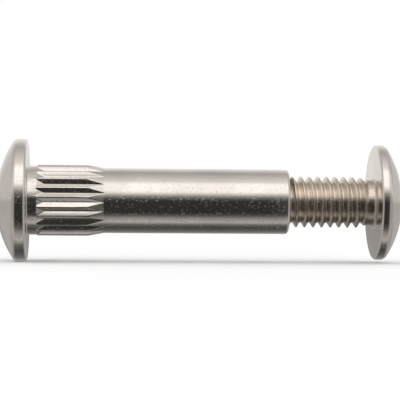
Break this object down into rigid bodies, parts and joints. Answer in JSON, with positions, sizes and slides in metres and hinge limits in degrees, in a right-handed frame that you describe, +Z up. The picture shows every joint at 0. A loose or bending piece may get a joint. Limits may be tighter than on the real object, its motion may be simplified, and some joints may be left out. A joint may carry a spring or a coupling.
{
  "type": "binding barrel screw",
  "caption": "Two-part binding connector: domed sleeve nut with ribbed collar and the matching slotted truss-head screw threaded part way into it.",
  "frame": {"origin": "on the common axis, in the plane of the barrel head's bearing face", "axes": "+X along the axis from the barrel's head to the screw's head, +Z up"},
  "size_m": [0.0468, 0.014, 0.014],
  "materials": {
    "barrel_nickel": "bright nickel plate on turned steel",
    "screw_nickel": "bright nickel plate on rolled thread and cold-headed steel"
  },
  "bodies": {
    "barrel": {"binding_barrel": "barrel_nickel"},
    "screw": {"binding_screw": "screw_nickel"}
  },
  "joints": [
    {"name": "screw_travel", "type": "slide", "parent": "barrel", "child": "screw", "axis": [1, 0, 0], "range_m": [-0.01, 0.012]}
  ]
}
